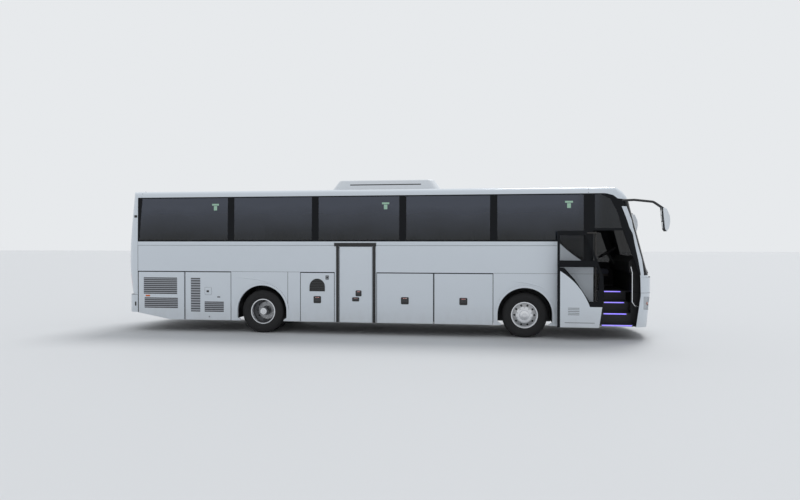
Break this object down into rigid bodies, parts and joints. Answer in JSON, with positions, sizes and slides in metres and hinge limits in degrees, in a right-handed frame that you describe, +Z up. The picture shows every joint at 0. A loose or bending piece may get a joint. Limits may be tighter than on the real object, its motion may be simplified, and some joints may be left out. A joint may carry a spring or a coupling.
{
  "type": "coach bus",
  "caption": "High-floor touring coach with a raked front, tinted side glass, luggage flaps, roof cooler, open swing-plug front door and steered front wheels.",
  "frame": {"origin": "centre of the bounding box in plan, on the road", "axes": "+X forward, +Y to the coach's left, +Z up"},
  "size_m": [12.559, 3.03, 3.6179],
  "materials": {
    "white_paint": "gloss white coach paint",
    "white_plastic": "white moulded cover",
    "tinted_glass": "dark tinted safety glass",
    "tyre_rubber": "black tyre rubber",
    "polished_rim": "polished disc wheel",
    "frame_steel": "black chassis paint",
    "engine_iron": "cast iron",
    "black_plastic": "black moulded plastic",
    "floor_cover": "dark grey floor covering",
    "seat_fabric": "dark woven upholstery",
    "rack_trim": "light grey trim",
    "lamp_lens": "clear lens",
    "tail_lens": "red lens",
    "chrome_rail": "chromed tube"
  },
  "bodies": {
    "root": {"air_conditioner": "white_plastic", "body_glass": "tinted_glass", "cab_floor": "floor_cover", "cabin_floor": "floor_cover", "chassis_rails": "frame_steel", "dashboard": "black_plastic", "driver_seat": "seat_fabric", "engine_block": "engine_iron", "entry_steps": "floor_cover", "front_axle": "frame_steel", "front_bumper": "white_paint", "front_cap": "white_paint", "front_mask": "white_paint", "handrails": "chrome_rail", "head_lamps": "lamp_lens", "luggage_bay": "floor_cover", "luggage_racks": "rack_trim", "mirrors": "black_plastic", "passenger_seats": "seat_fabric", "rear_axle": "frame_steel", "rear_bumper": "white_paint", "rear_cap": "white_paint", "roof_skin": "white_paint", "side_wall_left": "white_paint", "side_wall_right": "white_paint", "tail_lamps": "tail_lens", "wheel_housings": "black_plastic", "windscreen": "tinted_glass"},
    "front_wheel_right": {"front_tyre_right": "tyre_rubber", "front_rim_right": "polished_rim"},
    "front_wheel_left": {"front_tyre_left": "tyre_rubber", "front_rim_left": "polished_rim"},
    "rear_wheels_right": {"rear_tyres_right": "tyre_rubber", "rear_rims_right": "polished_rim"},
    "rear_wheels_left": {"rear_tyres_left": "tyre_rubber", "rear_rims_left": "polished_rim"},
    "steering_knuckle_right": {"knuckle_right": "frame_steel"},
    "steering_knuckle_left": {"knuckle_left": "frame_steel"},
    "steering_wheel": {"steering_wheel": "black_plastic"},
    "front_door_arm": {"front_door_arm": "frame_steel"},
    "front_door": {"front_door": "white_paint", "front_door_glass": "tinted_glass"},
    "mid_door_arm": {"mid_door_arm": "frame_steel"},
    "mid_door": {"mid_door": "white_paint"},
    "rear_lid": {"rear_lid": "white_paint"},
    "roof_hatch_front": {"roof_hatch_front": "white_paint"},
    "roof_hatch_rear": {"roof_hatch_rear": "white_paint"},
    "engine_door_right": {"engine_door_right": "white_paint"},
    "service_door_right": {"service_door_right": "white_paint"},
    "luggage_flap_right_1": {"luggage_flap_right_1": "white_paint"},
    "luggage_flap_right_2": {"luggage_flap_right_2": "white_paint"},
    "luggage_flap_right_3": {"luggage_flap_right_3": "white_paint"},
    "engine_door_left": {"engine_door_left": "white_paint"},
    "service_door_left": {"service_door_left": "white_paint"},
    "luggage_flap_left_1": {"luggage_flap_left_1": "white_paint"},
    "luggage_flap_left_2": {"luggage_flap_left_2": "white_paint"},
    "luggage_flap_left_3": {"luggage_flap_left_3": "white_paint"}
  },
  "joints": [
    {"name": "steer_left", "type": "hinge", "parent": "root", "child": "steering_knuckle_left", "pos_m": [3.2725, 0.86, 0.505], "axis": [0, 0, 1], "range_deg": [-38, 38]},
    {"name": "steer_right", "type": "hinge", "parent": "root", "child": "steering_knuckle_right", "pos_m": [3.2725, -0.86, 0.505], "axis": [0, 0, 1], "range_deg": [-38, 38]},
    {"name": "steering_wheel_turn", "type": "hinge", "parent": "root", "child": "steering_wheel", "pos_m": [5.4025, 0.66, 1.89], "axis": [-0.5299, 0, 0.848], "range_deg": [-610, 610]},
    {"name": "front_wheel_left_spin", "type": "hinge", "parent": "steering_knuckle_left", "child": "front_wheel_left", "pos_m": [3.2725, 1.04, 0.505], "axis": [0, 1, 0], "continuous": true},
    {"name": "front_wheel_right_spin", "type": "hinge", "parent": "steering_knuckle_right", "child": "front_wheel_right", "pos_m": [3.2725, -1.04, 0.505], "axis": [0, 1, 0], "continuous": true},
    {"name": "rear_wheels_left_spin", "type": "hinge", "parent": "root", "child": "rear_wheels_left", "pos_m": [-2.8075, 1.08, 0.505], "axis": [0, 1, 0], "continuous": true},
    {"name": "rear_wheels_right_spin", "type": "hinge", "parent": "root", "child": "rear_wheels_right", "pos_m": [-2.8075, -1.08, 0.505], "axis": [0, 1, 0], "continuous": true},
    {"name": "front_door_swing", "type": "hinge", "parent": "root", "child": "front_door_arm", "pos_m": [4.80553, -1.19006, 1.3], "axis": [0, 0, 1], "range_deg": [0, 152.62]},
    {"name": "front_door_leaf", "type": "hinge", "parent": "front_door_arm", "child": "front_door", "pos_m": [4.4305, -1.39, 1.3], "axis": [0, 0, 1], "range_deg": [-153.12, 0.5]},
    {"name": "mid_door_swing", "type": "hinge", "parent": "root", "child": "mid_door_arm", "pos_m": [-0.86419, -1.13549, 1.2], "axis": [0, 0, 1], "range_deg": [-129.18, 0]},
    {"name": "mid_door_leaf", "type": "hinge", "parent": "mid_door_arm", "child": "mid_door", "pos_m": [-0.4955, -1.185, 1.2], "axis": [0, 0, 1], "range_deg": [-0.5, 129.68]},
    {"name": "engine_door_right_hinge", "type": "hinge", "parent": "root", "child": "engine_door_right", "pos_m": [0, -1.2693, 1.442], "axis": [-1, 0, 0], "range_deg": [0, 90]},
    {"name": "service_door_right_hinge", "type": "hinge", "parent": "root", "child": "service_door_right", "pos_m": [0, -1.2693, 1.442], "axis": [-1, 0, 0], "range_deg": [0, 90]},
    {"name": "luggage_flap_right_1_hinge", "type": "hinge", "parent": "root", "child": "luggage_flap_right_1", "pos_m": [0, -1.2693, 1.442], "axis": [-1, 0, 0], "range_deg": [0, 90]},
    {"name": "luggage_flap_right_2_hinge", "type": "hinge", "parent": "root", "child": "luggage_flap_right_2", "pos_m": [0, -1.2693, 1.442], "axis": [-1, 0, 0], "range_deg": [0, 90]},
    {"name": "luggage_flap_right_3_hinge", "type": "hinge", "parent": "root", "child": "luggage_flap_right_3", "pos_m": [0, -1.2693, 1.442], "axis": [-1, 0, 0], "range_deg": [0, 90]},
    {"name": "engine_door_left_hinge", "type": "hinge", "parent": "root", "child": "engine_door_left", "pos_m": [0, 1.2693, 1.442], "axis": [1, 0, 0], "range_deg": [0, 90]},
    {"name": "service_door_left_hinge", "type": "hinge", "parent": "root", "child": "service_door_left", "pos_m": [0, 1.2693, 1.442], "axis": [1, 0, 0], "range_deg": [0, 90]},
    {"name": "luggage_flap_left_1_hinge", "type": "hinge", "parent": "root", "child": "luggage_flap_left_1", "pos_m": [0, 1.2693, 1.442], "axis": [1, 0, 0], "range_deg": [0, 90]},
    {"name": "luggage_flap_left_2_hinge", "type": "hinge", "parent": "root", "child": "luggage_flap_left_2", "pos_m": [0, 1.2693, 1.442], "axis": [1, 0, 0], "range_deg": [0, 90]},
    {"name": "luggage_flap_left_3_hinge", "type": "hinge", "parent": "root", "child": "luggage_flap_left_3", "pos_m": [0, 1.2693, 1.442], "axis": [1, 0, 0], "range_deg": [0, 90]},
    {"name": "rear_lid_hinge", "type": "hinge", "parent": "root", "child": "rear_lid", "pos_m": [-6.2718, 0, 1.552], "axis": [0, 1, 0], "range_deg": [0, 80]},
    {"name": "roof_hatch_rear_tilt", "type": "hinge", "parent": "root", "child": "roof_hatch_rear", "pos_m": [-2.5775, 0, 3.3843], "axis": [0, -1, 0], "range_deg": [0, 35]},
    {"name": "roof_hatch_front_tilt", "type": "hinge", "parent": "root", "child": "roof_hatch_front", "pos_m": [3.2525, 0, 3.3843], "axis": [0, -1, 0], "range_deg": [0, 35]}
  ],
  "couplings": [
    {"joint": "steer_right", "follows": "steer_left", "ratio": 1},
    {"joint": "steering_wheel_turn", "follows": "steer_left", "ratio": 16},
    {"joint": "front_door_leaf", "follows": "front_door_swing", "ratio": -1},
    {"joint": "mid_door_leaf", "follows": "mid_door_swing", "ratio": -1}
  ]
}
